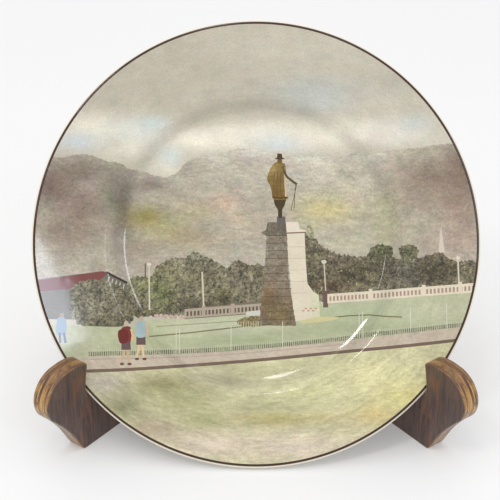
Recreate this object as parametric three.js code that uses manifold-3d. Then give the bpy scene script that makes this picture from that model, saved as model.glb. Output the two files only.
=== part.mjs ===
// Printed china plate standing on a folding wooden plate stand.
// Millimetres, +Z up, the plate's face looks towards -Y.
// Origin: on the floor, under the middle of the whole part.
// The plate leans back in the notches behind the hooks and rests on the boards' sloping edges.
import * as THREE from 'three';
import { mergeVertices } from 'three/addons/utils/BufferGeometryUtils.js';
import Module from 'manifold-3d';

const wasm = await Module();
wasm.setup();

// Plate: a 10.5 inch rack plate, measured along its own axis from the plane of its lip.
const plateRadius = 133.35;
const lipRadius = 1.7;
const flangeInner = 90;
const flangeDrop = 10.8;
const wellRadius = 77;
const wellDepth = 16.8;
const bodyThickness = 3.9;
const footRadius = 75.5;
const footWidth = 3.6;
const footHeight = 3;
const platePieces = 96;
const plateLean = THREE.MathUtils.degToRad(35.5);
const rimClearance = 2.6;

// Stand: two equal boards, hinged along their rear edges.
const leafThickness = 12;
const leafReach = 167.3;
const leafAngle = THREE.MathUtils.degToRad(38);
const hingeY = 72.7;
const plateY = hingeY - 74.33;
const faceGap = 0.3;
const rearGap = 2.7;
const leafTop = 153.6;
const edgeRound = 0.8;

// Hook at the front of each board.
const noseRadius = 17;
const noseInset = 8.5;
const noseHeight = 44.5;
const hookTip = 8.3;
const notchRadius = 4.4;
const notchInset = 10;
const notchHeight = 40;

// Butt hinges on the rear edges.
const hingeHeights = { lower: 26, upper: 128 };
const hingeLength = 24;
const knuckleRadius = 2.4;
const knuckleGap = 0.3;
const pinRadius = 1.05;
const pinBore = 1.35;
const flapThickness = 1;
const flapStart = 2.9;
const flapEnd = 11.6;
const screwInset = 7.4;
const screwSpacing = 14;
const screwHead = 2;
const screwShank = 0.9;
const screwLength = 9;
const screwGap = 0.45;

const china = new THREE.MeshStandardMaterial({ color: 0xd8d2c4, roughness: 0.12, metalness: 0 });
const wood = new THREE.MeshStandardMaterial({ color: 0x5a4034, roughness: 0.5, metalness: 0 });
const brass = new THREE.MeshStandardMaterial({ color: 0xb08d4a, roughness: 0.35, metalness: 1 });

function toSolid(geometry) {
  const bare = geometry.clone();
  bare.deleteAttribute('normal');
  bare.deleteAttribute('uv');
  const merged = mergeVertices(bare, 1e-4);
  return new wasm.Manifold(new wasm.Mesh({
    numProp: 3,
    vertProperties: new Float32Array(merged.attributes.position.array),
    triVerts: new Uint32Array(merged.index.array),
  }));
}

function toGeometry(solid) {
  const mesh = solid.getMesh();
  const geometry = new THREE.BufferGeometry();
  geometry.setAttribute('position', new THREE.BufferAttribute(mesh.vertProperties, 3));
  geometry.setIndex(new THREE.BufferAttribute(mesh.triVerts, 1));
  geometry.computeVertexNormals();
  return geometry;
}

function part(name, geometry, material) {
  const mesh = new THREE.Mesh(geometry, material);
  mesh.name = name;
  return mesh;
}

// Turned section of the plate: up the face from the middle to the lip, and back under it.
function plateGeometry() {
  const backOfWell = -wellDepth - bodyThickness;
  const footInner = footRadius - footWidth / 2;
  const footOuter = footRadius + footWidth / 2;
  const section = new THREE.Path();
  section.moveTo(0, -wellDepth);
  section.lineTo(wellRadius - 6, -wellDepth);
  section.bezierCurveTo(
    wellRadius + 5, -wellDepth,
    wellRadius + 8, -flangeDrop - 2.4,
    flangeInner, -flangeDrop,
  );
  section.quadraticCurveTo(112, -5.6, plateRadius - 2.4, -0.1);
  section.absarc(plateRadius - lipRadius, -lipRadius, lipRadius, 1.9, -1.2, true);
  section.quadraticCurveTo(112, -9.6, flangeInner + 1.5, -flangeDrop - 4.2);
  section.quadraticCurveTo(footOuter + 6, -wellDepth - 2.4, footOuter + 1.2, backOfWell + 0.5);
  section.lineTo(footOuter, backOfWell - footHeight + 0.8);
  section.quadraticCurveTo(footRadius, backOfWell - footHeight - 0.8, footInner,
    backOfWell - footHeight + 0.8);
  section.lineTo(footInner - 1.4, backOfWell);
  section.lineTo(0, backOfWell);
  const points = section.getPoints(6).reverse();
  const turned = new THREE.LatheGeometry(points, platePieces);
  turned.rotateX(Math.PI / 2);
  turned.rotateX(Math.PI / 2 - plateLean);
  const centreHeight = rimClearance + plateRadius * Math.cos(plateLean);
  turned.translate(0, plateY, centreHeight);
  return turned;
}

// Side view of one board: x runs forward from the hinge axis, y runs up.
// "back" is a distance measured from the tip of the foot towards the hinge.
function leafOutline() {
  const at = (back, height) => [leafReach - back, height];
  const noseEnd = THREE.MathUtils.degToRad(-35);
  const outline = new THREE.Shape();
  outline.moveTo(rearGap, 0);
  outline.lineTo(...at(3, 0));
  outline.quadraticCurveTo(...at(1, 0), ...at(0.2, 1.4));
  outline.bezierCurveTo(
    ...at(-6, 12),
    ...at(-7, 18),
    leafReach + noseInset + noseRadius * Math.cos(noseEnd),
    noseHeight + noseRadius * Math.sin(noseEnd),
  );
  outline.absarc(leafReach + noseInset, noseHeight, noseRadius, noseEnd, Math.PI / 2, false);
  outline.quadraticCurveTo(...at(2, 62.4), ...at(hookTip - 0.6, 59));
  outline.quadraticCurveTo(...at(hookTip + 0.3, 58.3), ...at(hookTip - 0.2, 57));
  outline.lineTo(...at(notchInset - notchRadius, notchHeight + 2));
  outline.absarc(leafReach - notchInset, notchHeight, notchRadius, 0, -1.98, true);
  outline.lineTo(...at(40, 53.2));
  outline.quadraticCurveTo(...at(73, 55.8), ...at(78, 79.8));
  outline.lineTo(...at(141, 149.1));
  outline.quadraticCurveTo(...at(145, leafTop), ...at(149, leafTop));
  outline.lineTo(rearGap + 3, leafTop);
  outline.quadraticCurveTo(rearGap, leafTop, rearGap, leafTop - 3);
  return outline;
}

// Puts a shape drawn in the board's own frame (x forward from the hinge axis, y up,
// z outward from the board's inner face) on the left (-1) or the right (+1) side.
function placeOnSide(side) {
  const forward = new THREE.Vector3(side * Math.sin(leafAngle), -Math.cos(leafAngle), 0);
  const outward = new THREE.Vector3(side * Math.cos(leafAngle), Math.sin(leafAngle), 0);
  const frame = new THREE.Matrix4().makeBasis(forward, new THREE.Vector3(0, 0, 1), outward);
  return frame.setPosition(0, hingeY, 0);
}

// The right side's frame is mirrored; a solid's faces still point outward after it.
function onSide(solid, side) {
  return toGeometry(solid.transform(placeOnSide(side).elements));
}

function cylinderSolid(radiusStart, radiusEnd, length, pieces) {
  return toSolid(new THREE.CylinderGeometry(radiusEnd, radiusStart, length, pieces));
}

function boxSolid(low, high) {
  const size = high.map((value, i) => value - low[i]);
  const middle = high.map((value, i) => (value + low[i]) / 2);
  const box = new THREE.BoxGeometry(...size);
  box.translate(...middle);
  return toSolid(box);
}

function screwHeights() {
  return Object.values(hingeHeights).flatMap((middle) => [
    middle - screwSpacing / 2,
    middle + screwSpacing / 2,
  ]);
}

// A cylinder along the board's forward direction, starting at x = start.
function rodAlongBoard(radius, start, length, height) {
  return cylinderSolid(radius, radius, length, 20)
    .rotate([0, 0, 90])
    .translate([start + length / 2, height, screwInset]);
}

function leafSolid() {
  const board = new THREE.ExtrudeGeometry(leafOutline(), {
    depth: leafThickness - 2 * edgeRound,
    bevelEnabled: true,
    bevelThickness: edgeRound,
    bevelSize: edgeRound,
    bevelOffset: -edgeRound,
    bevelSegments: 2,
    curveSegments: 14,
  });
  board.translate(0, 0, faceGap + edgeRound);
  return screwHeights().reduce(
    (solid, height) => solid.subtract(
      rodAlongBoard(screwShank + screwGap, rearGap - 1, screwLength + 1.5, height),
    ),
    toSolid(board),
  );
}

// One flap of a butt hinge with its knuckles, screwed to a board's rear edge.
function flapSolid(middle, knuckleSpans) {
  const outer = knuckleRadius;
  const inner = outer - flapThickness;
  const low = middle - hingeLength / 2;
  const high = middle + hingeLength / 2;
  let flap = boxSolid([inner, low, flapStart], [outer, high, flapEnd]);
  for (const [from, to] of knuckleSpans) {
    const barrel = cylinderSolid(outer, outer, to - from, 32).translate([0, (from + to) / 2, 0]);
    flap = flap.add(barrel).add(boxSolid([inner, from, 0], [outer, to, flapStart + 0.5]));
  }
  flap = flap.subtract(cylinderSolid(pinBore, pinBore, hingeLength + 4, 24)
    .translate([0, middle, 0]));
  for (const height of [middle - screwSpacing / 2, middle + screwSpacing / 2]) {
    const seat = cylinderSolid(screwHead + screwGap, screwShank + screwGap, flapThickness + 0.02, 20)
      .rotate([0, 0, -90])
      .translate([inner + flapThickness / 2, height, screwInset]);
    flap = flap.subtract(seat);
  }
  return flap;
}

// Countersunk wood screw with one slot, its head level with the flap.
function screwSolid(height) {
  const top = knuckleRadius - flapThickness;
  const head = cylinderSolid(screwHead, screwShank, flapThickness, 20)
    .rotate([0, 0, -90])
    .translate([top + flapThickness / 2, height, screwInset]);
  const shank = rodAlongBoard(screwShank, top + 0.5, screwLength, height);
  const slot = boxSolid(
    [top - 1, height - 0.3, screwInset - screwHead - 1],
    [top + 0.45, height + 0.3, screwInset + screwHead + 1],
  );
  return head.add(shank).subtract(slot);
}

// Hinge pin with a low domed head at each end.
function pinGeometry(middle) {
  const half = hingeLength / 2 + 0.3;
  const headRadius = 1.9;
  const section = new THREE.Path();
  section.moveTo(0, -half - 1.2);
  section.quadraticCurveTo(headRadius, -half - 1.2, headRadius, -half);
  section.lineTo(pinRadius, -half);
  section.lineTo(pinRadius, half);
  section.lineTo(headRadius, half);
  section.quadraticCurveTo(headRadius, half + 1.2, 0, half + 1.2);
  const turned = new THREE.LatheGeometry(section.getPoints(5), 20);
  turned.rotateX(Math.PI / 2);
  turned.translate(0, hingeY, middle);
  return turned;
}

// The left flap has the two end knuckles and the right flap the middle one.
function knuckleSpans(middle, side) {
  const pitch = (hingeLength - 2 * knuckleGap) / 3;
  const start = middle - hingeLength / 2;
  const spans = [0, 1, 2].map((i) => {
    const from = start + i * (pitch + knuckleGap);
    return [from, from + pitch];
  });
  return side < 0 ? [spans[0], spans[2]] : [spans[1]];
}

function hingeParts(name, middle) {
  const parts = [part(`hinge_${name}_pin`, pinGeometry(middle), brass)];
  for (const [sideName, side] of [['left', -1], ['right', 1]]) {
    const flap = onSide(flapSolid(middle, knuckleSpans(middle, side)), side);
    parts.push(part(`hinge_${name}_flap_${sideName}`, flap, brass));
    [middle - screwSpacing / 2, middle + screwSpacing / 2].forEach((height, i) => {
      const place = i === 0 ? 'bottom' : 'top';
      const screw = onSide(screwSolid(height), side);
      parts.push(part(`screw_${name}_${sideName}_${place}`, screw, brass));
    });
  }
  return parts;
}

const group = new THREE.Group();
group.add(part('plate', plateGeometry(), china));
group.add(part('stand_leaf_left', onSide(leafSolid(), -1), wood));
group.add(part('stand_leaf_right', onSide(leafSolid(), 1), wood));
for (const [name, middle] of Object.entries(hingeHeights)) {
  group.add(...hingeParts(name, middle));
}

export default group;
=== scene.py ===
"""Looks of the souvenir plate: printed and glazed china, stained wooden stand, aged brass hinges."""
import math

import bmesh
import bpy
import numpy as np
from mathutils import Matrix, Vector
from mathutils.geometry import delaunay_2d_cdt


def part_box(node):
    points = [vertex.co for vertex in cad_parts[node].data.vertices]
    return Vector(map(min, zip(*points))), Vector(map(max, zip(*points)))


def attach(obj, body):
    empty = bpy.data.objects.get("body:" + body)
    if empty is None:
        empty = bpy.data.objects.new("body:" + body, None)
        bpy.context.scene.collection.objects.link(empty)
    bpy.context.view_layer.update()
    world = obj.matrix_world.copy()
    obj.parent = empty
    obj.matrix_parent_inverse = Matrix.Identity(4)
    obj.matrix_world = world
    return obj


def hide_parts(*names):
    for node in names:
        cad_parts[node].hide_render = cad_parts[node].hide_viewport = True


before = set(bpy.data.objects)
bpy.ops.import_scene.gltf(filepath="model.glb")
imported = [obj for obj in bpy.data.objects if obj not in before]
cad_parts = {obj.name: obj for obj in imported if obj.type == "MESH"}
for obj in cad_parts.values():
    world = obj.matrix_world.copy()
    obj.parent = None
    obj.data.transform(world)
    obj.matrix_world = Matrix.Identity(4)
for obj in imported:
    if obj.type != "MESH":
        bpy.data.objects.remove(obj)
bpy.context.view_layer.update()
MM = 0.001

# Plate, in millimetres in its own frame: x right, y up the plate, z out of its face, lip plane at z = 0.
PLATE_LEAN = math.radians(35.5)
PLATE_RADIUS = 1000 * (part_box("plate")[1].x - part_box("plate")[0].x) / 2
LIP_RADIUS = 1.7
PRINT_RADIUS = PLATE_RADIUS - 2.4
PRINT_EDGE_DROP = 0.1
FLANGE_MIDDLE = 112
FLANGE_MIDDLE_DROP = 5.6
FLANGE_INNER = 90
FLANGE_DROP = 10.8
WELL_RADIUS = 77
WELL_DEPTH = 16.8
BODY_THICKNESS = 3.9
FOOT_RADIUS = 75.5
FOOT_WIDTH = 3.6
FOOT_HEIGHT = 3

# The brown line covers the lip from the edge of the print to this radius, and no deeper than this.
RIM_LINE_OUTER = 132.21
RIM_LINE_DROP = 1

# The clear glaze adds this much brightness everywhere, and painted shade darkens the print round this radius.
GLAZE_VEIL = 0.032
STEP_RADIUS = 84
DARKEST_INK = 0.004

# The plate's mesh: points round its edge, rings on the wall of the well and a grid elsewhere. At the
# edge, triangles smaller than FLAT_AREA, in square millimetres, are left out.
SPOKES = 348
WALL_RINGS = np.arange(70, 94, 0.9)
GRID_STEP = 2.6
GRID_ROW_STEP = GRID_STEP * 0.866
GRID_MARGIN = 1.5
EDGE_RADIUS = PRINT_RADIUS - 0.1
FLAT_AREA = 0.001

# Each board of the stand is turned outward from the middle by this much.
LEAF_ANGLE = math.radians(38)

# Camera, with its distance in metres, and its lens and sensor in millimetres.
CAMERA_ELEVATION = math.radians(31)
CAMERA_DISTANCE = 0.9
CAMERA_SHIFT = (-0.0120, -0.0170)
FOCAL_LENGTH = 109.296
SENSOR_WIDTH = 36

# Floor, in metres: half its width, how far behind the plate it starts to rise and how steeply. It
# glows faintly.
FLOOR_HALF_WIDTH = 2.4
FLOOR_BEND = 1.4
FLOOR_RISE = 1.1
FLOOR_GLOW = 0.3

ROOM_BRIGHTNESS = 0.86
WHITE = (1, 1, 1)
DAYLIGHT = (0.78, 0.85, 1.0)

# Lights: name, azimuth and elevation in degrees, distance, width and height in metres, watts, colour.
LIGHTS = [
    ("overhead", 0, 86, 1.6, 1.2, 1.2, 4.2, WHITE),
    ("key", -37, 55, 2.0, 0.26, 0.26, 3.6, WHITE),
    ("lamp", -13, 68, 2.0, 0.2, 0.36, 2.0, WHITE),
    ("window", 28.8, 41, 2.15, 0.15, 0.5, 2.0, DAYLIGHT),
    ("slit", -23, 42, 2.0, 0.04, 0.16, 0.25, WHITE),
]


# ------------------------------ drawing with curves

class Pen:
    """Draws a line through straight runs, curves and arcs, and keeps the points."""

    def __init__(self, x, y, steps=12):
        self.points = [(x, y)]
        self.steps = steps

    def _curve(self, *controls):
        start = self.points[-1]
        for i in range(1, self.steps + 1):
            t = i / self.steps
            row = [start, *controls]
            while len(row) > 1:
                row = [
                    (a[0] + (b[0] - a[0]) * t, a[1] + (b[1] - a[1]) * t)
                    for a, b in zip(row, row[1:])
                ]
            self.points.append(row[0])
        return self

    def line(self, x, y):
        self.points.append((x, y))
        return self

    def quad(self, control, end):
        return self._curve(control, end)

    def cubic(self, first, second, end):
        return self._curve(first, second, end)

    def arc(self, centre, radius, start, end):
        for i in range(self.steps + 1):
            angle = start + (end - start) * i / self.steps
            self.points.append((
                centre[0] + radius * math.cos(angle),
                centre[1] + radius * math.sin(angle),
            ))
        return self


def smooth(points, closed=True, steps=5):
    """A soft outline through the points."""
    points = np.array(points, float)
    count = len(points)
    spans = range(count if closed else count - 1)
    result = []
    for i in spans:
        before = points[(i - 1) % count] if closed or i > 0 else points[0]
        after = points[(i + 2) % count] if closed or i + 2 < count else points[-1]
        here, there = points[i], points[(i + 1) % count]
        for step in range(steps):
            t = step / steps
            result.append(0.5 * (
                2 * here
                + (there - before) * t
                + (2 * before - 5 * here + 4 * there - after) * t ** 2
                + (3 * here - before - 3 * there + after) * t ** 3
            ))
    if not closed:
        result.append(points[-1])
    return [tuple(p) for p in result]


def resample(points, spacing):
    """The closed outline again, with points an even distance apart."""
    ring = np.array(points + points[:1], float)
    length = np.hypot(*np.diff(ring, axis=0).T)
    along = np.concatenate([[0], np.cumsum(length)])
    places = np.linspace(0, along[-1], max(8, int(along[-1] / spacing)), endpoint=False)
    return np.stack([np.interp(places, along, ring[:, k]) for k in (0, 1)], axis=1)


def ragged(points, depth, spacing=1.1, seed=1):
    """An outline with a leafy edge: each point is pushed in or out across the edge."""
    ring = resample(points, spacing)
    along = np.roll(ring, -1, axis=0) - np.roll(ring, 1, axis=0)
    across = np.stack([along[:, 1], -along[:, 0]], axis=1)
    across /= np.maximum(np.hypot(across[:, 0], across[:, 1]), 1e-6)[:, None]
    push = np.random.default_rng(seed).uniform(-depth, depth, len(ring))
    return [tuple(p) for p in ring + across * push[:, None]]


def stroke(points, width):
    """A thin band along a line."""
    line = np.array(points, float)
    along = np.gradient(line, axis=0)
    side = np.stack([-along[:, 1], along[:, 0]], axis=1)
    side *= width / 2 / np.hypot(side[:, 0], side[:, 1])[:, None]
    return [tuple(p) for p in line + side] + [tuple(p) for p in (line - side)[::-1]]


def oval(x, y, rx, ry, corners=14):
    """An oval round x, y with the given half width and half height."""
    angles = [2 * math.pi * i / corners for i in range(corners)]
    return [(x + rx * math.cos(a), y + ry * math.sin(a)) for a in angles]


def fine(outline, longest=2.5):
    """The same outline with points along its long edges, so that it can follow the curved plate."""
    result = []
    for (x0, y0), (x1, y1) in zip(outline, outline[1:] + outline[:1]):
        steps = max(1, math.ceil(math.dist((x0, y0), (x1, y1)) / longest))
        result += [(x0 + (x1 - x0) * i / steps, y0 + (y1 - y0) * i / steps) for i in range(steps)]
    return result


def block(left, bottom, right, top):
    """An upright rectangle."""
    return [(left, bottom), (right, bottom), (right, top), (left, top)]


# ------------------------------ the printed scene

def rgb(red, green, blue):
    """A linear colour from display values of 0 to 255."""
    values = np.array([red, green, blue]) / 255
    return np.where(values <= 0.04045, values / 12.92, ((values + 0.055) / 1.055) ** 2.4)


RIM_BROWN = rgb(58, 34, 22)
CHINA_CREAM = rgb(236, 228, 208)

# Soft washes of colour, in plate millimetres: x, y, half width, half height, colour, strength.
WASHES = {
    "sky": [
        (-60, 112, 60, 22, (186, 179, 162), 0.6),
        (0, 118, 30, 12, (204, 198, 182), 0.5),
        (55, 115, 45, 14, (204, 198, 182), 0.6),
        (95, 98, 26, 14, (184, 180, 166), 0.6),
        (34, 92, 26, 8, (184, 190, 186), 0.7),
        (40, 84, 18, 5, (192, 198, 196), 0.6),
        (78, 84, 24, 8, (206, 200, 184), 0.6),
        (-90, 84, 24, 6, (182, 176, 160), 0.6),
        (-20, 92, 34, 9, (188, 182, 166), 0.5),
        (-100, 68, 22, 9, (230, 224, 208), 0.95),
        (-72, 66, 18, 9, (222, 224, 214), 0.85),
        (-62, 72, 9, 4, (202, 212, 210), 0.9),
        (-107, 60, 14, 5, (202, 208, 210), 0.9),
        (-78, 56, 14, 6, (226, 220, 202), 0.8),
        (-55, 46, 12, 8, (222, 216, 198), 0.9),
        (-52, 54, 7, 6, (202, 212, 208), 0.9),
        (-34, 63, 22, 7, (240, 234, 216), 0.95),
        (-8, 66, 20, 7, (240, 234, 216), 0.95),
        (12, 66, 22, 8, (230, 226, 212), 0.9),
        (16, 61, 14, 5, (206, 214, 216), 0.9),
        (40, 66, 22, 8, (236, 230, 213), 0.9),
        (64, 67, 22, 7, (234, 228, 210), 0.95),
        (90, 66, 24, 8, (224, 218, 206), 0.9),
        (94, 71, 10, 5, (200, 206, 200), 0.8),
        (112, 62, 16, 7, (206, 200, 184), 0.8),
    ],
    "range": [
        (-122, 34, 16, 14, (116, 96, 88), 0.85),
        (-104, 43, 16, 7, (126, 112, 100), 0.8),
        (-104, 22, 14, 12, (130, 108, 98), 0.75),
        (-112, 6, 20, 12, (142, 126, 112), 0.8),
        (-86, 30, 8, 18, (124, 120, 104), 0.8),
        # Painted shade of the well's shoulder: a soft dark band down its left side.
        (-79, 20, 5, 24, (112, 102, 94), 0.7),
        (-64, 36, 9, 4, (118, 106, 98), 0.7),
        (-66, 16, 13, 8, (146, 136, 80), 0.95),
        (-52, 8, 14, 8, (166, 158, 112), 0.8),
        (-52, 31, 9, 5, (142, 130, 118), 0.6),
        (-70, -4, 14, 8, (156, 144, 124), 0.7),
        (-40, 46, 16, 6, (176, 170, 156), 0.6),
        (-30, 34, 20, 9, (176, 168, 152), 0.7),
        (-20, 24, 10, 6, (204, 176, 156), 0.8),
        (-38, 20, 14, 7, (182, 172, 134), 0.6),
        (-8, 14, 16, 8, (188, 174, 150), 0.7),
        (-36, 2, 18, 8, (172, 158, 132), 0.7),
        (-2, 44, 22, 8, (194, 186, 170), 0.7),
        (10, 36, 26, 10, (178, 170, 155), 0.5),
        (34, 44, 20, 9, (204, 198, 182), 0.8),
        (43, 21, 18, 9, (206, 196, 142), 0.9),
        (30, 8, 10, 6, (170, 168, 140), 0.6),
        (58, 34, 14, 9, (196, 188, 166), 0.8),
        (70, 44, 14, 8, (190, 184, 168), 0.7),
        (79, 14, 9, 17, (184, 180, 146), 0.85),
        (106, 38, 22, 12, (146, 128, 114), 0.95),
        (122, 22, 18, 14, (156, 138, 124), 0.95),
        (98, 26, 14, 10, (160, 148, 130), 0.7),
        (118, 4, 20, 12, (172, 150, 136), 0.8),
        (100, 8, 16, 9, (178, 170, 150), 0.8),
        (55, 0, 26, 8, (190, 186, 160), 0.7),
        (-24, 53, 15, 3.5, (216, 210, 194), 0.8),
        (2, 56, 17, 4, (218, 213, 198), 0.85),
        (32, 53, 15, 3.5, (216, 211, 196), 0.7),
        (68, 53.5, 11, 4, (210, 205, 188), 0.85),
        (126, 46, 13, 15, (124, 104, 90), 0.85),
    ],
    "foliage": [
        (-98, -36, 14, 10, (132, 128, 108), 0.7),
        (-66, -22, 12, 8, (122, 124, 86), 0.7),
        (-36, -22, 18, 6, (116, 111, 90), 0.7),
        (-14, -24, 10, 10, (120, 114, 98), 0.6),
        (34, -10, 8, 12, (112, 106, 86), 0.7),
        (58, -18, 18, 10, (88, 82, 68), 0.9),
        (76, -4, 8, 5, (104, 110, 80), 0.7),
        (92, -5, 6, 4, (94, 100, 74), 0.7),
        (104, -17, 20, 9, (78, 72, 60), 0.9),
        (-28, -38, 26, 5, (84, 78, 62), 0.75),
        (-66, -42, 12, 4, (92, 88, 68), 0.7),
        (-92, -50, 14, 4, (98, 96, 76), 0.7),
        (-34, -8, 6, 3, (150, 150, 132), 0.7),
        (-44, -12, 6, 3, (140, 138, 116), 0.6),
        (-20, -31, 5, 5, (96, 92, 60), 0.7),
        (-56, -31, 8, 8, (96, 104, 66), 0.7),
        (50, -10, 8, 4, (112, 98, 86), 0.7),
        (44, -26, 16, 5, (84, 66, 56), 0.7),
        (84, -18, 10, 6, (96, 92, 88), 0.6),
    ],
    "lawn": [
        (-104, -58, 14, 8, (184, 184, 160), 0.7),
        (-70, -56, 16, 6, (178, 186, 146), 0.7),
        (-20, -50, 40, 6, (200, 202, 178), 0.6),
        (-6, -58, 26, 4, (158, 168, 130), 0.7),
        (60, -42, 30, 6, (176, 188, 156), 0.6),
        (105, -40, 26, 8, (194, 194, 168), 0.6),
        (60, -52, 36, 4, (164, 172, 138), 0.7),
    ],
    "front": [
        (-90, -83, 16, 7, (184, 175, 163), 0.9),
        (-54, -85, 20, 6, (142, 136, 96), 0.85),
        (-78, -97, 13, 7, (132, 131, 102), 0.9),
        (-42, -94, 18, 7, (160, 160, 120), 0.8),
        (-20, -82, 20, 6, (166, 160, 130), 0.85),
        (-30, -106, 16, 5, (156, 160, 112), 0.8),
        (-8, -104, 16, 5, (186, 178, 142), 0.8),
        (10, -96, 18, 5, (174, 172, 136), 0.7),
        (30, -88, 20, 8, (206, 206, 158), 0.7),
        (74, -80, 34, 12, (220, 214, 166), 0.85),
        (90, -92, 18, 8, (214, 204, 138), 0.8),
        (70, -102, 14, 7, (212, 192, 134), 0.8),
        (40, -104, 16, 4, (196, 182, 138), 0.7),
        (-60, -111, 18, 7, (172, 156, 136), 0.9),
        (-28, -120, 26, 8, (214, 198, 180), 0.9),
        (24, -121, 40, 9, (214, 199, 180), 0.9),
        (12, -105, 20, 4, (166, 154, 98), 0.75),
        (56, -112, 14, 5, (200, 190, 158), 0.7),
    ],
    "pedestal": [
        (13, -3, 12, 9, (138, 130, 116), 0.8),
        (7, -34, 5, 9, (136, 100, 72), 0.7),
        (14, -42, 12, 10, (116, 102, 74), 0.9),
    ],
    "cloak": [
        (10, 45, 4, 5, (166, 142, 96), 0.8),
        (14, 30, 6, 4, (118, 90, 54), 0.8),
    ],
    "plain": [],
}


class Picture:
    """Shapes painted one over another, in millimetres on the plate."""

    def __init__(self):
        self.layers = []

    def paint(self, outline, colour, wash="plain", leafy=0.0, brushed=0.0, rocky=0.0, grainy=0.5):
        """Adds a filled shape, with how strongly it is leafy, brushed, rocky and grainy."""
        touch = (leafy, brushed, rocky, grainy)
        self.layers.append((fine(outline), rgb(*colour), WASHES[wash], touch))

    def colours(self, layer, x, y):
        """The layer's colours at the points, less the pale veil that the glaze's own shine adds."""
        _, base, washes, _ = self.layers[layer]
        colour = np.tile(base, (len(x), 1))
        for cx, cy, rx, ry, tint, strength in washes:
            weight = strength * np.exp(-((x - cx) / rx) ** 2 - ((y - cy) / ry) ** 2)
            colour += (rgb(*tint) - colour) * weight[:, None]
        return np.clip(colour - GLAZE_VEIL, DARKEST_INK, 1)


def between(top, bottom):
    """The outline of a band with its own upper and lower edge, both drawn from left to right."""
    return top + bottom[::-1]


def paint_sky(picture):
    """The sky fills the whole print; all else is painted over it."""
    disc = oval(0, 0, PRINT_RADIUS, PRINT_RADIUS, SPOKES)
    picture.paint(disc, (194, 187, 170), "sky", brushed=0.25, grainy=0.9)


def paint_mountains(picture):
    """A hazy range behind the park."""
    far = 136
    skyline = smooth([
        (-far, 52), (-117, 50.5), (-107, 52.5), (-98, 52), (-90, 49), (-82, 48), (-76, 44.5),
        (-70, 44), (-60, 41), (-54, 40.5), (-47, 44), (-42, 49.5), (-34, 53.5), (-22, 55), (-10, 57.5),
        (2, 57.5), (12, 55.5), (34, 54), (52, 53), (61, 55.5), (70, 53.5), (80, 55.5), (96, 56.5),
        (113, 58.5), (far, 56),
    ], closed=False)
    outline = ragged(between(skyline, [(-far, -30), (far, -30)]), 0.4, seed=11)
    picture.paint(outline, (182, 174, 158), "range", brushed=0.15, rocky=1.0, grainy=1.0)


def paint_house(picture):
    """A long low building with a red roof and pale posts, cut off by the plate's edge."""
    wall = [(-140, -24), (-92, -17), (-74, -26), (-74, -46), (-140, -46)]
    picture.paint(wall, (120, 116, 104), brushed=0.4)
    roof = [(-140, -25), (-92, -17), (-88, -18), (-96, -24.5), (-112, -28), (-140, -31)]
    picture.paint(roof, (126, 80, 76))
    picture.paint(stroke([(-90, -17.5), (-82, -21.5), (-73, -26)], 1.3), (72, 66, 62))
    for i in range(5):
        x = -88 + 2.2 * i
        picture.paint(stroke([(x, -20.5 - i), (x - 1.2, -26 - i)], 0.7), (196, 190, 174))


def paint_trees(picture):
    """Trees along the far side of the park, the nearer ones darker, and one bare pale trunk."""
    dark, mid = (122, 116, 97), (132, 127, 106)
    masses = [
        (mid, 0.8, [
            (-76, -21), (-64, -20), (-60, -14), (-56, -12), (-40, -10), (-18, -14), (-10, -12),
            (2, -15), (8, -18), (8, -40), (-30, -42), (-62, -44), (-77, -42),
        ]),
        (dark, 0.9, [
            (-110, -28), (-102, -23), (-92, -22), (-82, -26), (-76, -32), (-74, -44), (-78, -50),
            (-100, -51), (-109, -44),
        ]),
        (dark, 0.8, [
            (-57, -13), (-51, -9), (-43, -8.5), (-37, -5), (-30, -8), (-22, -12), (-18, -16),
            (-26, -18), (-36, -17), (-48, -19),
        ]),
        (dark, 0.8, [(-16, -14), (-10, -10), (-4, -13), (2, -12), (8, -18), (8, -34), (-12, -35)]),
        (mid, 0.9, [
            (28, 2), (33, 5), (38, 1), (44, -4), (54, -7), (64, -8), (72, -5), (80, -8), (92, -10),
            (104, -8), (116, -11), (136, -13), (136, -27), (100, -29), (60, -33), (28, -33),
        ]),
        (dark, 0.9, [(29, 0), (36, 0), (42, -6), (44, -18), (36, -27), (29, -28)]),
        (dark, 0.8, [(70, -2), (76, -0.5), (82, -3), (82, -14), (78, -24), (66, -24), (67, -9)]),
        (dark, 0.7, [(86, -3), (91, -1), (97, -4), (95, -10), (88, -9)]),
        (dark, 0.8, [(92, -15), (100, -9), (109, -6), (116, -10), (120, -18), (118, -26), (96, -28)]),
    ]
    for seed, (colour, depth, points) in enumerate(masses, 1):
        outline = ragged(smooth(points), depth, seed=seed)
        picture.paint(outline, colour, "foliage", leafy=1.0, grainy=1.0)
    picture.paint(stroke([(-32.5, -17), (-32, -26), (-31.5, -38)], 1.0), (206, 196, 172))
    picture.paint(smooth([(31, 11), (33.5, 10), (35, 6), (34, 3), (31.5, 5)]), (150, 148, 122), leafy=0.8)


def paint_towers(picture):
    """A far spire, three lamps with round globes and a plain post."""
    picture.paint([(109, -6), (109.6, 3), (110.4, 9.5), (111.4, 3), (112.5, -6)], (206, 196, 184))
    for x, top, bottom in ((-64.5, -12.5, -40), (120, -9.5, -26)):
        picture.paint(stroke([(x, top), (x + 0.4, bottom)], 0.9), (208, 198, 178))
        picture.paint(oval(x, top, 1.3, 1.1), (214, 206, 188))
    picture.paint(stroke([(-66.8, -12), (-66.8, -21)], 0.7), (96, 92, 78))
    picture.paint(stroke([(41, -11), (42, -29)], 0.8), (196, 186, 164))
    picture.paint(oval(41, -11, 1.6, 1.2), (206, 202, 184))


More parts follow.
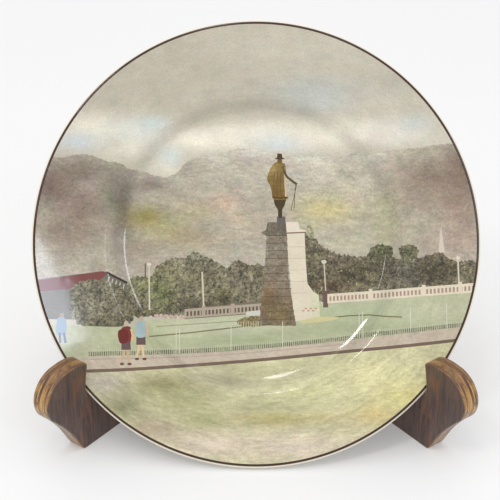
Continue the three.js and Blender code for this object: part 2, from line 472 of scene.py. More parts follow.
def paint_lawns(picture):
    """The park behind the fence, with a flower bed and faint paths."""
    far = 140
    top = smooth([
        (-far, -49), (-100, -50), (-78, -50), (-62, -46), (-42, -44.5), (-4, -41.5), (20, -40),
        (44, -36), (70, -35), (100, -32), (far, -29),
    ], closed=False)
    lawn = between(top, [(-far, -80), (far, -70)])
    picture.paint(lawn, (182, 185, 152), "lawn", brushed=0.5, grainy=0.6)
    for x in range(-60, -42, 3):
        picture.paint(oval(x, -43.5 - 0.05 * (x + 60), 1.5, 1.2), (198, 172, 162), leafy=0.5)
    picture.paint(stroke([(-64, -56), (-38, -53.5), (-4, -49.5), (3, -49)], 0.8), (128, 122, 92))
    picture.paint(stroke([(-60, -50), (-30, -48), (0, -46)], 0.5), (150, 150, 112))
    picture.paint(stroke([(46, -44.5), (56, -43.5), (68, -43), (77, -44), (87, -44.5)], 0.8), (126, 122, 90))
    picture.paint(smooth([(27, -44), (40, -44), (50, -44.5), (44, -46.5), (28, -48)]), (204, 196, 150))


def rail(picture, start, end, height, posts, stone, gap):
    """A stone balustrade with small openings, and posts at the given places along it."""
    (x0, y0), (x1, y1) = start, end

    def foot(x):
        return y0 + (y1 - y0) * (x - x0) / (x1 - x0)

    picture.paint([(x0, y0), (x1, y1), (x1, y1 + height), (x0, y0 + height)], stone, grainy=0.9)
    x = x0 + 1.2
    while x < x1 - 1.5:
        y = foot(x)
        picture.paint(block(x, y + 0.22 * height, x + 1.15, y + 0.72 * height), gap)
        x += 2.2
    for post in posts:
        y = foot(post)
        picture.paint(block(post - 1.1, y, post + 1.1, y + height + 1.2), stone)


def paint_balustrades(picture):
    """One balustrade each side of the monument, the left one in shade."""
    picture.paint([(-43, -45.5), (4, -42), (4, -34.5), (-43, -39.5)], (128, 116, 100), brushed=0.6)
    rail(picture, (-43, -45), (4, -41.5), 5.5, (-31.5, -14), (174, 162, 144), (104, 92, 78))
    picture.paint(block(40.4, -38.5, 43.4, -28.5), (112, 92, 84))
    rail(picture, (43, -36), (132, -30), 5.6, (69, 100, 121), (220, 208, 186), (164, 144, 126))


def paint_fence(picture):
    """A low dark hedge line with pale pickets in front of it."""
    line = [
        (-99, -66.5), (-45, -65), (-4, -62.5), (18, -60.8), (50, -57.6), (67, -55), (92, -52.6),
        (130, -48.5),
    ]
    picture.paint(stroke(smooth(line, closed=False), 2.6), (132, 134, 108), leafy=0.6)
    shadow = [(x, y - 2) for x, y in line if -70 < x < 60]
    picture.paint(stroke(smooth(shadow, closed=False), 1.3), (118, 108, 88), leafy=0.5, brushed=0.5)
    xs = np.arange(-98, 122, 1.25)
    ys = np.interp(xs, *np.array(line).T)
    for x, y in zip(xs, ys):
        picture.paint(stroke([(x, y - 1.4), (x, y + 2.6)], 0.36), (192, 192, 168))
    for x in (-48, -46, -15, 16, 62, 64, 92, 113):
        y = np.interp(x, *np.array(line).T)
        picture.paint(stroke([(x, y - 1), (x, y + 14)], 0.45), (208, 210, 190))


def paint_path(picture):
    """A gravel path with a dark kerb, and the grass in front of it."""
    far, kerb_width = 140, 1.9
    upper = smooth([
        (-far, -69), (-99, -68), (-45, -66.3), (-4, -63.8), (50, -58.8), (92, -53.8), (far, -48.5),
    ], closed=False)
    kerb = smooth([
        (-far, -77), (-99, -75.6), (-67, -74.2), (-4, -69.6), (50, -64.4), (92, -60.4), (far, -55),
    ], closed=False)
    picture.paint(between(upper, kerb), (194, 181, 162), brushed=0.7, grainy=0.7)
    rut = smooth([(-99, -69.8), (-30, -67.6), (20, -63.6), (60, -60)], closed=False)
    picture.paint(stroke(rut, 0.6), (180, 164, 150), brushed=0.5)
    lower = [(x, y - kerb_width) for x, y in kerb]
    grass = between(lower, [(-far, -far), (far, -far)])
    picture.paint(grass, (200, 196, 158), "front", brushed=1.0, grainy=0.9)
    picture.paint(between(kerb, lower), (120, 102, 90), brushed=0.4, grainy=0.8)


def paint_monument(picture):
    """A made-up figure in a hat and cloak on a plain stone pedestal, behind a low railing."""
    paint_sunny_side(picture)
    paint_shaded_side(picture)
    paint_cap(picture)
    for i in range(5):
        y = -2 - 7 * i
        picture.paint(stroke([(19.6 + 0.3 * i, y), (30 + 0.25 * i, y + 0.3)], 0.28), (190, 178, 158))
    for i in range(15):
        x = -18 + 1.5 * i
        picture.paint(stroke([(x, -50.8 + 0.06 * i), (x, -47.4 + 0.06 * i)], 0.34), (196, 194, 166))
    paint_figure(picture)


def paint_sunny_side(picture):
    """The shrub and low step behind the pedestal, its pale side, and flowers at its foot."""
    shrub = ragged(smooth([(-10, -45.5), (2, -43.5), (4, -49.5), (-10, -49)]), 0.5, seed=21)
    picture.paint(shrub, (132, 120, 88), leafy=0.7)
    picture.paint([(-6, -41), (4, -40), (4, -43.5), (-6, -43.5)], (204, 202, 188))
    side = [
        (18, 7), (29.3, 7), (30, -10), (31, -24), (34.5, -29), (37.8, -31), (38.5, -44), (23, -47),
    ]
    picture.paint(side, (220, 210, 188), brushed=0.2)
    picture.paint([(33, -31), (37.8, -31), (38.5, -44.5), (33.5, -44.5)], (210, 208, 178), brushed=0.3)
    for i in range(6):
        flower = oval(28.5 + 1.5 * i, -40.5 + 1.4 * (i % 2), 0.9, 0.5, 7)
        picture.paint(flower, (190, 154, 130), grainy=1.0)


def paint_shaded_side(picture):
    """The rough dark front of the pedestal and the joints between its stones."""
    front = [(6.5, 5.4), (18.8, 5.4), (19.6, -20), (24.2, -49.5), (1.6, -49.5), (4.8, -22)]
    rough = ragged(front, 0.25, seed=22)
    picture.paint(rough, (136, 124, 108), "pedestal", leafy=0.4, rocky=1.0, grainy=1.0)
    for i in range(11):
        y = 0.5 - 4.6 * i
        left, right = 5.9 + 0.075 * y, 19.0 - 0.085 * y
        picture.paint(stroke([(left, y - 0.3), (right, y)], 0.3), (96, 80, 66), rocky=1.0)


def paint_cap(picture):
    """The projecting stone on top of the pedestal, dark in front and pale at the side."""
    front = [(7, 13), (18, 13), (18.6, 8), (18.6, 5), (6, 5), (2.8, 6.6), (6, 8.2)]
    picture.paint(front, (116, 109, 96), leafy=0.45, rocky=0.8)
    picture.paint(stroke([(6, 5), (18.6, 5)], 0.5), (96, 80, 66))
    side = [(18, 13), (25.5, 13.3), (26.5, 9), (30.2, 8), (30.2, 6.6), (18.6, 6.2)]
    picture.paint(side, (226, 214, 196))
    picture.paint(stroke([(18.6, 6.4), (30.2, 6.9)], 0.8), (136, 112, 98))


def paint_figure(picture):
    """The bronze figure: base, legs, two thin sticks, cloak with its lit edge and folds, arm, head, hat."""
    bronze, dark = (132, 110, 68), (84, 72, 52)
    picture.paint(block(12.6, 12, 17.8, 16.5), (108, 102, 98))
    legs = smooth([
        (11.2, 28), (17.8, 28), (17.4, 23.6), (15.9, 20.5), (15.7, 16), (13.5, 16), (13.2, 20.5),
        (11.4, 23.6),
    ], steps=3)
    picture.paint(legs, dark, leafy=0.3)
    for top, foot in ((24.6, 21.2), (23.8, 23.0)):
        picture.paint(stroke([(top, 36), (foot, 20)], 0.32), dark)
    cloak = smooth([
        (11.8, 49.4), (15, 49.6), (17.8, 47.6), (18.2, 41), (18, 36), (18.9, 30), (19.4, 27.4),
        (15, 26.6), (10.4, 27), (9.6, 31), (8.6, 35), (6.7, 39.5), (8.6, 45.5),
    ], steps=4)
    picture.paint(cloak, bronze, "cloak", leafy=0.25, rocky=0.8, grainy=1.0)
    lit_edge = [
        (16.8, 46.6), (17.8, 46.2), (18.0, 41), (18.2, 35), (19.0, 28.4), (17.6, 28.2), (17.2, 36),
    ]
    picture.paint(lit_edge, (200, 184, 150))
    for x, lean in ((10.6, -0.4), (12.6, 0.2), (14.6, 0.9)):
        picture.paint(stroke([(x + 0.6, 44), (x, 36), (x + lean, 28)], 0.4), (108, 88, 54), rocky=0.6)
    picture.paint(stroke([(10.2, 28.4), (14.6, 27.6), (18.8, 28.2)], 0.9), dark)
    arm = smooth([(16.4, 47), (18.2, 41.5), (21.5, 38.4), (24.8, 36)], closed=False, steps=3)
    picture.paint(stroke(arm, 1.4), (98, 84, 58), leafy=0.3)
    picture.paint(oval(14.4, 50.4, 1.5, 1.7), (116, 94, 62))
    picture.paint(oval(14.4, 51.8, 3.0, 0.6), dark)
    picture.paint([(12.6, 51.8), (13.0, 54.8), (15.6, 54.8), (16.2, 51.8)], dark)


def paint_walkers(picture):
    """Two strolling figures, and a third in blue who stands at the plate's edge."""
    walker(picture, -77.5, -48.4, top=(122, 66, 62), legs=(200, 170, 140), bag=True)
    walker(picture, -68.8, -45.4, top=(168, 188, 190), legs=(224, 190, 152), bag=False)
    coat = smooth([(-117, -45), (-113.5, -45), (-112, -50), (-113, -55), (-117.5, -55), (-118, -50)])
    picture.paint(coat, (146, 164, 182))
    picture.paint(oval(-115, -43.6, 1.3, 1.5), (160, 140, 124))
    for knee, foot in ((-116, -115.6), (-113.6, -112.4)):
        picture.paint(stroke([(knee, -54), (foot, -60)], 1.3), (112, 122, 160))


def walker(picture, x, y, top, legs, bag):
    """A small strolling figure seen from behind; x, y is the middle of the head."""
    skin, boot = (222, 182, 146), (104, 84, 74)
    picture.paint(oval(x, y, 1.4, 1.7), (190, 178, 158))
    for knee, foot in ((-1.4, -2.4), (1.4, 2.0)):
        picture.paint(stroke([(x + 0.4 * knee, y - 14), (x + knee, y - 19), (x + foot, y - 23.4)], 1.3), legs)
        picture.paint(oval(x + foot + 0.4, y - 24, 1.3, 0.8), boot)
    shorts = [(x - 2.6, y - 9.6), (x + 2.6, y - 9.6), (x + 3, y - 15.6), (x - 2.6, y - 15.6)]
    picture.paint(shorts, (108, 90, 88))
    shirt = smooth([
        (x - 2, y - 2), (x + 2.2, y - 1.8), (x + 3.2, y - 5), (x + 2.8, y - 10.6), (x - 2.4, y - 10.8),
        (x - 3.2, y - 5),
    ], steps=4)
    picture.paint(shirt, top)
    picture.paint(stroke([(x + 2.8, y - 3), (x + 3.8, y - 7), (x + 3.4, y - 10)], 1.1), skin)
    if bag:
        sack = smooth([
            (x - 4.6, y - 4.4), (x, y - 3.4), (x + 1.4, y - 7), (x + 0.6, y - 11), (x - 3.6, y - 11.4),
        ], steps=4)
        picture.paint(sack, (112, 56, 52))


def draw_picture():
    """The whole print, from the sky at the back to the walkers in front."""
    picture = Picture()
    paint_sky(picture)
    paint_mountains(picture)
    paint_house(picture)
    paint_trees(picture)
    paint_towers(picture)
    paint_lawns(picture)
    paint_balustrades(picture)
    paint_monument(picture)
    paint_fence(picture)
    paint_path(picture)
    paint_walkers(picture)
    return picture


# ------------------------------ the plate's mesh

def face_profile():
    """Radius and height of the plate's face from the middle to the edge of the print."""
    pen = Pen(0, -WELL_DEPTH, steps=60)
    pen.line(WELL_RADIUS - 6, -WELL_DEPTH)
    shoulder = (FLANGE_INNER, -FLANGE_DROP)
    pen.cubic((WELL_RADIUS + 5, -WELL_DEPTH), (WELL_RADIUS + 8, -FLANGE_DROP - 2.4), shoulder)
    pen.quad((FLANGE_MIDDLE, -FLANGE_MIDDLE_DROP), (PRINT_RADIUS, -PRINT_EDGE_DROP))
    return np.array(pen.points)


def rim_and_back_profile():
    """Round the lip, down the back, over the foot ring and in to the middle."""
    floor = -WELL_DEPTH - BODY_THICKNESS
    inner, outer = FOOT_RADIUS - FOOT_WIDTH / 2, FOOT_RADIUS + FOOT_WIDTH / 2
    lip_top, lip_under = 1.9, -1.2
    pen = Pen(PRINT_RADIUS, -PRINT_EDGE_DROP, steps=14)
    pen.arc((PLATE_RADIUS - LIP_RADIUS, -LIP_RADIUS), LIP_RADIUS, lip_top, lip_under)
    pen.quad((FLANGE_MIDDLE, -FLANGE_MIDDLE_DROP - 4), (FLANGE_INNER + 1.5, -FLANGE_DROP - 4.2))
    pen.quad((outer + 6, -WELL_DEPTH - 2.4), (outer + 1.2, floor + 0.5))
    pen.quad((outer + 0.3, floor), (outer, floor - FOOT_HEIGHT + 0.8))
    pen.quad((FOOT_RADIUS, floor - FOOT_HEIGHT - 0.8), (inner, floor - FOOT_HEIGHT + 0.8))
    pen.quad((inner - 0.3, floor), (inner - 2.4, floor))
    pen.line(40, floor)
    pen.line(6, floor)
    # The first two points lie at the edge of the print, which the face already has.
    return np.array(pen.points[2:])


def slopes(profile):
    """Outward normals of a profile drawn with the solid on its right, as (radial, upward)."""
    along = np.gradient(profile, axis=0)
    length = np.maximum(np.hypot(along[:, 0], along[:, 1]), 1e-9)
    return np.stack([-along[:, 1] / length, along[:, 0] / length], axis=1)


def plate_to_world():
    """The plate's own frame in the row frame, in metres, found from the CAD plate's box."""
    low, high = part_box("plate")
    across = PLATE_RADIUS - LIP_RADIUS
    sin, cos = math.sin(PLATE_LEAN), math.cos(PLATE_LEAN)
    y = low.y + MM * (across * sin - LIP_RADIUS * cos + LIP_RADIUS)
    z = high.z - MM * (across * cos - LIP_RADIUS * sin + LIP_RADIUS)
    turn = Matrix.Rotation(math.pi / 2 - PLATE_LEAN, 4, "X")
    return Matrix.Translation((0, y, z)) @ turn @ Matrix.Scale(MM, 4)


def face_points():
    """Points that let the face follow its curve: rings on the wall of the well, a grid elsewhere."""
    points = []
    for radius in WALL_RINGS:
        points += oval(0, 0, radius, radius, SPOKES // 2)
    for row, y in enumerate(np.arange(-130, 131, GRID_ROW_STEP)):
        for x in np.arange(-131, 131, GRID_STEP):
            x += GRID_STEP / 2 * (row % 2)
            radius = math.hypot(x, y)
            in_well = radius < WALL_RINGS[0] - GRID_MARGIN
            on_flange = WALL_RINGS[-1] + GRID_MARGIN < radius < PRINT_RADIUS - 2
            if in_well or on_flange:
                points.append((x, y))
    return points


def inside(x, y, outline):
    """Which of the points lie inside the closed outline."""
    result = np.zeros(len(x), bool)
    for (x0, y0), (x1, y1) in zip(outline, outline[1:] + outline[:1]):
        if y0 != y1:
            crosses = (y0 > y) != (y1 > y)
            result ^= crosses & (x < x0 + (y - y0) * (x1 - x0) / (y1 - y0))
    return result


def cut_face(picture):
    """Cuts the printed face along every painted outline; the last shape painted is the one seen."""
    points, edges = [], []
    for outline, *_ in picture.layers:
        first, count = len(points), len(outline)
        edges += [(first + i, first + (i + 1) % count) for i in range(count)]
        points += outline
    points += face_points()
    cut = delaunay_2d_cdt([Vector(p) for p in points], edges, [], 0, 1e-4)
    corners = np.array(cut[2])
    points = np.array([tuple(p) for p in cut[0]])
    x, y = points[corners].mean(axis=1).T
    layer = np.full(len(corners), -1)
    for i, (outline, *_) in enumerate(picture.layers):
        layer[inside(x, y, outline)] = i
    at_edge = (np.hypot(*points.T) > EDGE_RADIUS)[corners].all(axis=1)
    flat = areas(points, corners) < FLAT_AREA
    sky = picture.layers[0][0]
    kept = inside(x, y, sky) & ~(at_edge & flat)
    points, corners = drop_unused(points, corners[kept])
    return points, corners, layer[kept]


def areas(points, corners):
    """The triangles' areas."""
    first, second, third = points[corners].transpose(1, 2, 0)
    (x1, y1), (x2, y2) = second - first, third - first
    return abs(x1 * y2 - y1 * x2) / 2


def drop_unused(points, corners):
    """The points that the triangles use, and the triangles' corners numbered to match."""
    used = np.unique(corners)
    number = np.full(len(points), -1)
    number[used] = np.arange(len(used))
    return points[used], number[corners]


def open_edge(corners):
    """The points along the cut face's open edge."""
    edges = np.sort(np.concatenate([corners[:, [0, 1]], corners[:, [1, 2]], corners[:, [2, 0]]]), axis=1)
    edges, uses = np.unique(edges, axis=0, return_counts=True)
    return np.unique(edges[uses == 1])


def curve_face(points):
    """The flat points raised onto the curved face of the plate, and the face's normals there."""
    face = face_profile()
    radius = np.hypot(points[:, 0], points[:, 1])
    height = np.interp(radius, face[:, 0], face[:, 1])
    lean = np.stack([np.interp(radius, face[:, 0], part) for part in slopes(face).T], axis=1)
    outward = points / np.maximum(radius, 1e-6)[:, None]
    return np.column_stack([points, height]), around(outward, lean)


def make_back(points, rim):
    """Points, normals and faces of rings that run from the face's open edge round the plate's back."""
    angle = np.arctan2(points[rim, 1], points[rim, 0])
    rim, angle = rim[np.argsort(angle)], np.sort(angle)
    turn = np.column_stack([np.cos(angle), np.sin(angle)])
    profile = rim_and_back_profile()
    places, normals, faces = [], [], []
    ring, used = rim, len(points)
    for (radius, height), slope in zip(profile, slopes(profile)):
        places.append(np.column_stack([turn * radius, np.full(len(turn), height)]))
        normals.append(around(turn, np.tile(slope, (len(turn), 1))))
        ring_below = np.arange(used, used + len(turn))
        faces += zip(ring, ring_below, np.roll(ring_below, -1), np.roll(ring, -1))
        ring, used = ring_below, used + len(turn)
    faces.append(tuple(ring[::-1]))
    return np.concatenate(places), np.concatenate(normals), faces


def make_plate():
    """The plate as one closed mesh, its printed face cut along the picture's outlines."""
    picture = draw_picture()
    points, corners, layer = cut_face(picture)
    face, face_normals = curve_face(points)
    back, back_normals, back_faces = make_back(points, open_edge(corners))
    places = np.concatenate([face, back])
    faces = [*corners, *back_faces]

    mesh = bpy.data.meshes.new("plate_glazed")
    mesh.from_pydata(places, [], [tuple(map(int, f)) for f in faces])
    paint_corners(mesh, picture, corners, layer)
    place = mesh.attributes.new("place", "FLOAT_VECTOR", "POINT")
    place.data.foreach_set("vector", places.ravel())
    mesh.transform(plate_to_world())
    mesh.shade_smooth()
    normals = np.concatenate([face_normals, back_normals]) @ np.array(plate_to_world().to_3x3()).T
    normals /= np.linalg.norm(normals, axis=1)[:, None]
    mesh.normals_split_custom_set_from_vertices(normals.tolist())
    piece(mesh, "plate", "plate", glazed_print(), replaces="plate")


def around(turn, slope):
    """Normals from (radial, upward) slopes at points that lie along the given directions."""
    return np.column_stack([turn * slope[:, :1], slope[:, 1:]])


def paint_corners(mesh, picture, corners, layer):
    """Writes each face corner's colour, and how leafy, brushed, rocky and grainy it is."""
    count = len(mesh.loops)
    colour = np.ones((count, 4))
    touch = np.zeros((count, 4))
    place = np.array([vertex.co for vertex in mesh.vertices])
    owner = np.repeat(layer, 3)
    for i, (_, _, _, feel) in enumerate(picture.layers):
        mine = np.flatnonzero(owner == i)
        spots = place[corners.ravel()[mine]]
        colour[mine, :3] = picture.colours(i, spots[:, 0], spots[:, 1])
        touch[mine] = feel

    painted = len(owner)
    point = np.zeros(count, int)
    mesh.loops.foreach_get("vertex_index", point)
    spots = place[point[painted:]]
    radius = np.hypot(spots[:, 0], spots[:, 1])
    line = (spots[:, 2] > -RIM_LINE_DROP) & (radius < RIM_LINE_OUTER)
    colour[painted:, :3] = np.where(line[:, None], RIM_BROWN, CHINA_CREAM)
    touch[painted:] = (0, 0, 0, 0.25)
    for name, values in (("print", colour), ("touch", touch)):
        attribute = mesh.color_attributes.new(name, "FLOAT_COLOR", "CORNER")
        attribute.data.foreach_set("color", values.ravel())


# ------------------------------ materials

# Sockets of the mixing node that hold its factor, its two colours and the mixed colour.
MIX_INPUTS = (0, 6, 7)
MIX_RESULT = 2


class Shader:
    """A material's node tree, built with short calls."""

    def __init__(self, name):
        self.material = bpy.data.materials.new(name)
        self.material.use_nodes = True
        self.tree = self.material.node_tree
        self.surface = self.tree.nodes["Principled BSDF"]

    def node(self, kind, output=0, settings=None, **inputs):
        """Adds a node, fills its inputs and gives one of its outputs."""
        node = self.tree.nodes.new("ShaderNode" + kind)
        for key, value in (settings or {}).items():
            setattr(node, key, value)
        for key, value in inputs.items():
            self.plug(node.inputs[key.replace("_", " ")], value)
        return node.outputs[output]

    def plug(self, socket, value):
        if isinstance(value, bpy.types.NodeSocket):
            self.tree.links.new(value, socket)
        else:
            socket.default_value = value

    def set(self, **inputs):
        for key, value in inputs.items():
            self.plug(self.surface.inputs[key.replace("_", " ")], value)

    def maths(self, operation, *values):
        node = self.tree.nodes.new("ShaderNodeMath")
        node.operation = operation
        for socket, value in zip(node.inputs, values):
            self.plug(socket, value)
        return node.outputs[0]

    def mix(self, factor, first, second, blend="MIX"):
        node = self.tree.nodes.new("ShaderNodeMix")
        node.data_type = "RGBA"
        node.blend_type = blend
        for socket, value in zip(MIX_INPUTS, (factor, first, second)):
            if isinstance(value, np.ndarray):
                value = (*value, 1)
            self.plug(node.inputs[socket], value)
        return node.outputs[MIX_RESULT]

    def ramp(self, value, low, high, to_low=0.0, to_high=1.0):
        """The value carried from the span low..high to the span to_low..to_high, and held there."""
        return self.node("MapRange", Value=value, From_Min=low, From_Max=high, To_Min=to_low, To_Max=to_high)

    def noise(self, vector, scale, detail=3.0, roughness=0.5, output=0):
        return self.node("TexNoise", output, Vector=vector, Scale=scale, Detail=detail, Roughness=roughness)

    def shade(self, factor, colour, brightness):
        """The colour made lighter or darker by the brightness, as far as the factor says."""
        grey = self.node("CombineColor", Red=brightness, Green=brightness, Blue=brightness)
        return self.mix(factor, colour, self.mix(1.0, colour, grey, "MULTIPLY"))

    def own_place(self):
        """Where the point is on its object, in metres."""
        return self.node("TexCoord", 3)

    def own_normal(self):
        """Which way the surface faces, in the object's own axes."""
        return self.node("TexCoord", 1)

    def stretch(self, vector, x, y, z):
        return self.node("Mapping", Vector=vector, Scale=(x, y, z))

    def bump(self, height, distance, strength=1.0):
        return self.node("Bump", Height=height, Distance=distance, Strength=strength)


def glazed_print():
    """Earthenware under a clear glaze, with a screened colour print between them."""
    s = Shader("glazed_print")
    colour = s.node("Attribute", settings={"attribute_name": "print"})
    place = s.node("Attribute", 1, settings={"attribute_name": "place"})
    touch = s.node("Attribute", settings={"attribute_name": "touch"}).node
    leafy, brushed, rocky = s.node("SeparateColor", Color=touch.outputs[0]).node.outputs
    grainy = touch.outputs[3]
    colour = leaves(s, place, colour, leafy)
    colour = brush_marks(s, place, colour, brushed)
    colour = crags(s, place, colour, rocky)
    colour = print_grain(s, place, colour, grainy, rocky)
    colour = shoulder_shade(s, place, colour)

    ripple = s.noise(place, 0.05, 2, 0.5)
    s.set(Base_Color=colour, Roughness=0.5, Specular_IOR_Level=0.0)
    s.set(Coat_Weight=1.0, Coat_Roughness=0.05, Coat_IOR=1.5)
    s.set(Coat_Normal=s.bump(ripple, 0.0004, 0.1))
    return s.material


def leaves(s, place, colour, leafy):
    """Light and dark leaves in clumps, with a few yellowish glints."""
    leaf = s.ramp(s.noise(place, 0.62, 4, 0.75), 0.36, 0.66, 0.2, 1.95)
    clump = s.ramp(s.noise(place, 0.16, 3, 0.6), 0.35, 0.68, 0.62, 1.4)
    colour = s.shade(leafy, colour, s.maths("MULTIPLY", leaf, clump))
    glint = s.ramp(s.noise(place, 0.5, 3, 0.7), 0.6, 0.72)
    return s.mix(s.maths("MULTIPLY", glint, leafy), colour, rgb(168, 168, 120))


def brush_marks(s, place, colour, brushed):
    """Level strokes of a broad brush, over larger patches."""
    sweep = s.ramp(s.noise(s.stretch(place, 0.2, 0.6, 1), 1.0, 5, 0.7), 0.3, 0.7, 0.82, 1.18)
    patch = s.ramp(s.noise(s.stretch(place, 0.05, 0.12, 1), 1.0, 4, 0.65), 0.32, 0.68, 0.84, 1.14)
    return s.shade(brushed, colour, s.maths("MULTIPLY", sweep, patch))


def crags(s, place, colour, rocky):
    """Slanting folds of rock with flecks on them."""
    slope = s.node("Mapping", Vector=place, Rotation=(0, 0, 0.7), Scale=(0.22, 0.6, 1))
    crag = s.ramp(s.noise(slope, 1.0, 6, 0.72), 0.34, 0.66, 0.83, 1.17)
    hollow = s.ramp(s.noise(slope, 0.28, 3, 0.6), 0.35, 0.65, 0.88, 1.1)
    colour = s.shade(rocky, colour, s.maths("MULTIPLY", crag, hollow))
    fleck = s.ramp(s.noise(place, 0.8, 4, 0.8), 0.36, 0.64, 0.88, 1.12)
    return s.shade(rocky, colour, fleck)


def print_grain(s, place, colour, grainy, rocky):
    """The specks and blots of the printing, and its slight drift of hue."""
    speck = s.ramp(s.noise(place, 1.1, 5, 0.75), 0.3, 0.7, 0.84, 1.16)
    blot = s.ramp(s.noise(place, 0.09, 4, 0.6), 0.3, 0.7, 0.93, 1.07)
    colour = s.shade(grainy, colour, s.maths("MULTIPLY", speck, blot))
    tints = s.mix(1.0, s.noise(place, 0.12, 5, 0.7, output=1), (2, 2, 2, 1), "MULTIPLY")
    much = s.maths("ADD", s.maths("MULTIPLY", grainy, 0.07), s.maths("MULTIPLY", rocky, 0.08))
    return s.mix(much, colour, s.mix(1.0, colour, tints, "MULTIPLY"))


def shoulder_shade(s, place, colour):
    """Painted shade: a slightly darker ring where the flange steps down to the well."""
    radius = s.node("VectorMath", 1, settings={"operation": "LENGTH"}, Vector=s.stretch(place, 1, 1, 0))
    from_step = s.maths("ABSOLUTE", s.maths("SUBTRACT", radius, STEP_RADIUS))
    return s.shade(s.ramp(from_step, 5, 1), colour, 0.88)


def stained_wood(side):
    """Dark stained hardwood, cut so that its growth layers show as lines along the thin edges."""
    s = Shader("stained_wood_" + ("right" if side > 0 else "left"))
    board = board_axes(s, from_hinge(s), side)
    facing = board_axes(s, s.own_normal(), side)
    face = s.maths("ABSOLUTE", s.node("SeparateXYZ", Vector=facing).node.outputs[1])
    drift = s.noise(s.stretch(board, 0.035, 0.3, 0.012), 1.0, 3, 0.5)
    fibre = s.noise(s.stretch(board, 0.5, 1.9, 0.5), 1.0, 4, 0.7)
    pore = s.noise(s.stretch(board, 2.6, 2.6, 0.1), 1.0, 2, 0.6)

    sides = broad_face(s, board, drift, pore)
    edges = thin_edge(s, board, drift, fibre)
    colour = s.mix(s.ramp(face, 0.75, 0.98), edges, sides)
    corner = s.maths("MULTIPLY", s.ramp(face, 0.3, 0.7), s.ramp(face, 0.98, 0.75))
    worn = s.maths("MULTIPLY", corner, s.ramp(fibre, 0.42, 0.62, 0.1, 0.85))
    colour = s.mix(worn, colour, rgb(158, 112, 66))
    s.set(Base_Color=colour, Roughness=s.ramp(drift, 0.3, 0.7, 0.34, 0.52))
    s.set(Coat_Weight=0.3, Coat_Roughness=0.22)
    grooves = s.maths("SUBTRACT", s.maths("MULTIPLY", fibre, 0.4), pore)
    s.set(Normal=s.bump(grooves, 0.0004, 0.35))
    return s.material


def broad_face(s, board, drift, pore):
    """Upright dark grain with redder and greyer streaks."""
    streak = s.noise(s.stretch(board, 0.55, 0.55, 0.03), 1.0, 5, 0.65)
    ribbon = s.noise(s.stretch(board, 0.16, 0.3, 0.05), 1.0, 4, 0.7)
    cloud = s.noise(s.stretch(board, 0.06, 0.3, 0.05), 1.0, 4, 0.6)
    colour = s.mix(s.ramp(streak, 0.34, 0.68), rgb(46, 31, 27), rgb(104, 76, 63))
    colour = s.mix(s.ramp(ribbon, 0.5, 0.66, 0, 0.6), colour, rgb(132, 78, 46))
    colour = s.mix(s.ramp(cloud, 0.5, 0.7, 0, 0.5), colour, rgb(82, 72, 78))
    colour = s.mix(s.ramp(drift, 0.5, 0.3, 0, 0.5), colour, rgb(48, 34, 30))
    return s.mix(s.ramp(pore, 0.58, 0.72, 0, 0.75), colour, rgb(30, 22, 20))


def thin_edge(s, board, drift, fibre):
    """Golden edges with thin dark growth lines, browner at the top, with painted shade that makes them greyer
    under the hook.
    """
    forward, outward, up = s.node("SeparateXYZ", Vector=board).node.outputs
    layer = s.maths("ADD", outward, s.maths("MULTIPLY", drift, 5.0))
    lengthwise, upwards = s.maths("MULTIPLY", forward, 0.03), s.maths("MULTIPLY", up, 0.03)
    along = s.node("CombineXYZ", X=lengthwise, Y=layer, Z=upwards)
    lines = s.noise(along, 0.95, 2, 0.8)
    colour = s.mix(s.ramp(lines, 0.42, 0.58), rgb(62, 38, 25), rgb(196, 146, 82))
    colour = s.mix(s.ramp(s.noise(along, 1.9, 2, 0.6), 0.58, 0.66, 0, 0.85), colour, rgb(224, 182, 100))
    colour = s.mix(s.ramp(fibre, 0.5, 0.7, 0, 0.45), colour, rgb(108, 72, 44))
    stain = s.noise(s.stretch(board, 0.14, 0.2, 0.14), 1.0, 4, 0.7)
    colour = s.mix(s.ramp(stain, 0.48, 0.64, 0, 0.8), colour, rgb(84, 58, 44))
    top = s.maths("ADD", up, s.maths("MULTIPLY", stain, 16))
    colour = s.mix(s.ramp(top, 60, 72, 0, 0.75), colour, rgb(100, 66, 46))
    # Painted shade: the edge turns greyer and darker below the hook's nose.
    shade_under_hook = s.maths("MULTIPLY", s.ramp(up, 44, 34), s.ramp(up, 14, 22))
    colour = s.mix(s.maths("MULTIPLY", shade_under_hook, 0.6), colour, rgb(98, 82, 72))
    return s.mix(s.ramp(up, 16, 8, 0, 0.4), colour, rgb(150, 118, 80))


def from_hinge(s):
    """Places in millimetres, measured from the line of the hinge pins."""
    low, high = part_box("hinge_lower_pin")
    middle = (low + high) / 2
    shift = (-1000 * middle.x, -1000 * middle.y, 0)
    return s.node("Mapping", Vector=s.own_place(), Location=shift, Scale=(1000,) * 3)


def board_axes(s, vector, side):
    """The vector turned into the board's own axes: forward, outward and up."""
    x, y, up = s.node("SeparateXYZ", Vector=vector).node.outputs
    sin, cos = math.sin(LEAF_ANGLE), math.cos(LEAF_ANGLE)
    forward = s.maths("ADD", s.maths("MULTIPLY", x, side * sin), s.maths("MULTIPLY", y, -cos))
    outward = s.maths("ADD", s.maths("MULTIPLY", x, side * cos), s.maths("MULTIPLY", y, sin))
    return s.node("CombineXYZ", X=forward, Y=outward, Z=up)


def aged_brass(name):
    """Brass that has darkened unevenly, with fine rolling scratches."""
    s = Shader(name)
    own = s.own_place()
    tarnish = s.noise(own, 160, 5, 0.65)
    scratch = s.noise(s.stretch(own, 400, 400, 4000), 1.0, 2, 0.5)
    colour = s.mix(s.ramp(tarnish, 0.35, 0.7), rgb(206, 164, 92), rgb(124, 88, 48))
    s.set(Base_Color=colour, Metallic=1.0, Roughness=s.ramp(tarnish, 0.3, 0.7, 0.24, 0.46))
    s.set(Normal=s.bump(scratch, 0.00005, 0.3))
    return s.material


# ------------------------------ pieces, stage and light

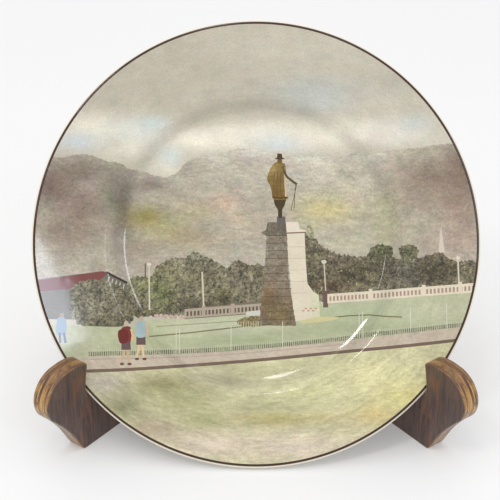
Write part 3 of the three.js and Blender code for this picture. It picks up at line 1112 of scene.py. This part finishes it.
def piece(mesh, name, body, material, replaces):
    """A visible piece that rides on a body, takes a slot's finish and stands for a CAD node."""
    obj = bpy.data.objects.new(name + "_piece", mesh)
    bpy.context.scene.collection.objects.link(obj)
    mesh.materials.append(material)
    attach(obj, body)
    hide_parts(replaces)


def dress(node, material):
    """Gives a CAD node its material."""
    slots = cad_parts[node].data.materials
    slots.clear()
    slots.append(material)


def dress_stand():
    """Wood for the two boards, and brass for the hinges and screws."""
    for side, name in ((-1, "left"), (1, "right")):
        dress("stand_leaf_" + name, stained_wood(side))
    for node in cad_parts:
        if node.startswith(("hinge_", "screw_")):
            dress(node, aged_brass("brass_" + node))


def floor_material():
    """Matt white paper that glows faintly, so that shadows on it stay soft."""
    s = Shader("studio_floor")
    own = s.own_place()
    faint = s.noise(own, 3.0, 2, 0.4)
    paper = s.mix(faint, rgb(214, 214, 214), rgb(218, 218, 218))
    s.set(Base_Color=paper, Roughness=0.8, Emission_Color=paper, Emission_Strength=FLOOR_GLOW)
    return s.material


def make_floor():
    """A pale floor that curves up far behind the plate."""
    grid = bmesh.new()
    bmesh.ops.create_grid(grid, x_segments=8, y_segments=40, size=FLOOR_HALF_WIDTH)
    for vertex in grid.verts:
        behind = max(0, vertex.co.y - FLOOR_BEND)
        vertex.co.z = FLOOR_RISE * behind ** 2
    mesh = bpy.data.meshes.new("studio_floor")
    grid.to_mesh(mesh)
    grid.free()
    mesh.shade_smooth()
    mesh.materials.append(floor_material())
    obj = bpy.data.objects.new("studio_floor", mesh)
    bpy.context.scene.collection.objects.link(obj)


def plate_centre():
    return plate_to_world() @ Vector((0, 0, 0))


def soft_light(name, azimuth, elevation, distance, width, height, power, colour):
    """An area light that faces the plate; azimuth 0 is on the camera's side, positive to its right."""
    data = bpy.data.lights.new(name, "AREA")
    data.shape = "RECTANGLE"
    data.size, data.size_y = width, height
    data.energy = power
    data.color = colour
    obj = bpy.data.objects.new(name, data)
    bpy.context.scene.collection.objects.link(obj)
    a, e = math.radians(azimuth), math.radians(elevation)
    toward = Vector((math.sin(a) * math.cos(e), -math.cos(a) * math.cos(e), math.sin(e)))
    obj.location = plate_centre() + toward * distance
    obj.rotation_euler = toward.to_track_quat("Z", "Y").to_euler()


def make_lights():
    """An even pale room and the lights in it, which also make the highlights on the glaze."""
    world = bpy.data.worlds.new("soft_room")
    world.use_nodes = True
    background = world.node_tree.nodes["Background"]
    background.inputs["Color"].default_value = (*WHITE, 1)
    background.inputs["Strength"].default_value = ROOM_BRIGHTNESS
    bpy.context.scene.world = world
    for light in LIGHTS:
        soft_light(*light)


def make_camera():
    """A camera in front of the plate and above it, turned to the plate's middle."""
    data = bpy.data.cameras.new("camera")
    data.sensor_width = SENSOR_WIDTH
    data.lens = FOCAL_LENGTH
    data.shift_x, data.shift_y = CAMERA_SHIFT
    obj = bpy.data.objects.new("camera", data)
    bpy.context.scene.collection.objects.link(obj)
    back = Vector((0, -math.cos(CAMERA_ELEVATION), math.sin(CAMERA_ELEVATION)))
    obj.location = plate_centre() + back * CAMERA_DISTANCE
    obj.rotation_euler = back.to_track_quat("Z", "Y").to_euler()
    bpy.context.scene.camera = obj


make_plate()
dress_stand()
make_floor()
make_lights()
make_camera()
bpy.context.scene.view_settings.view_transform = "Standard"
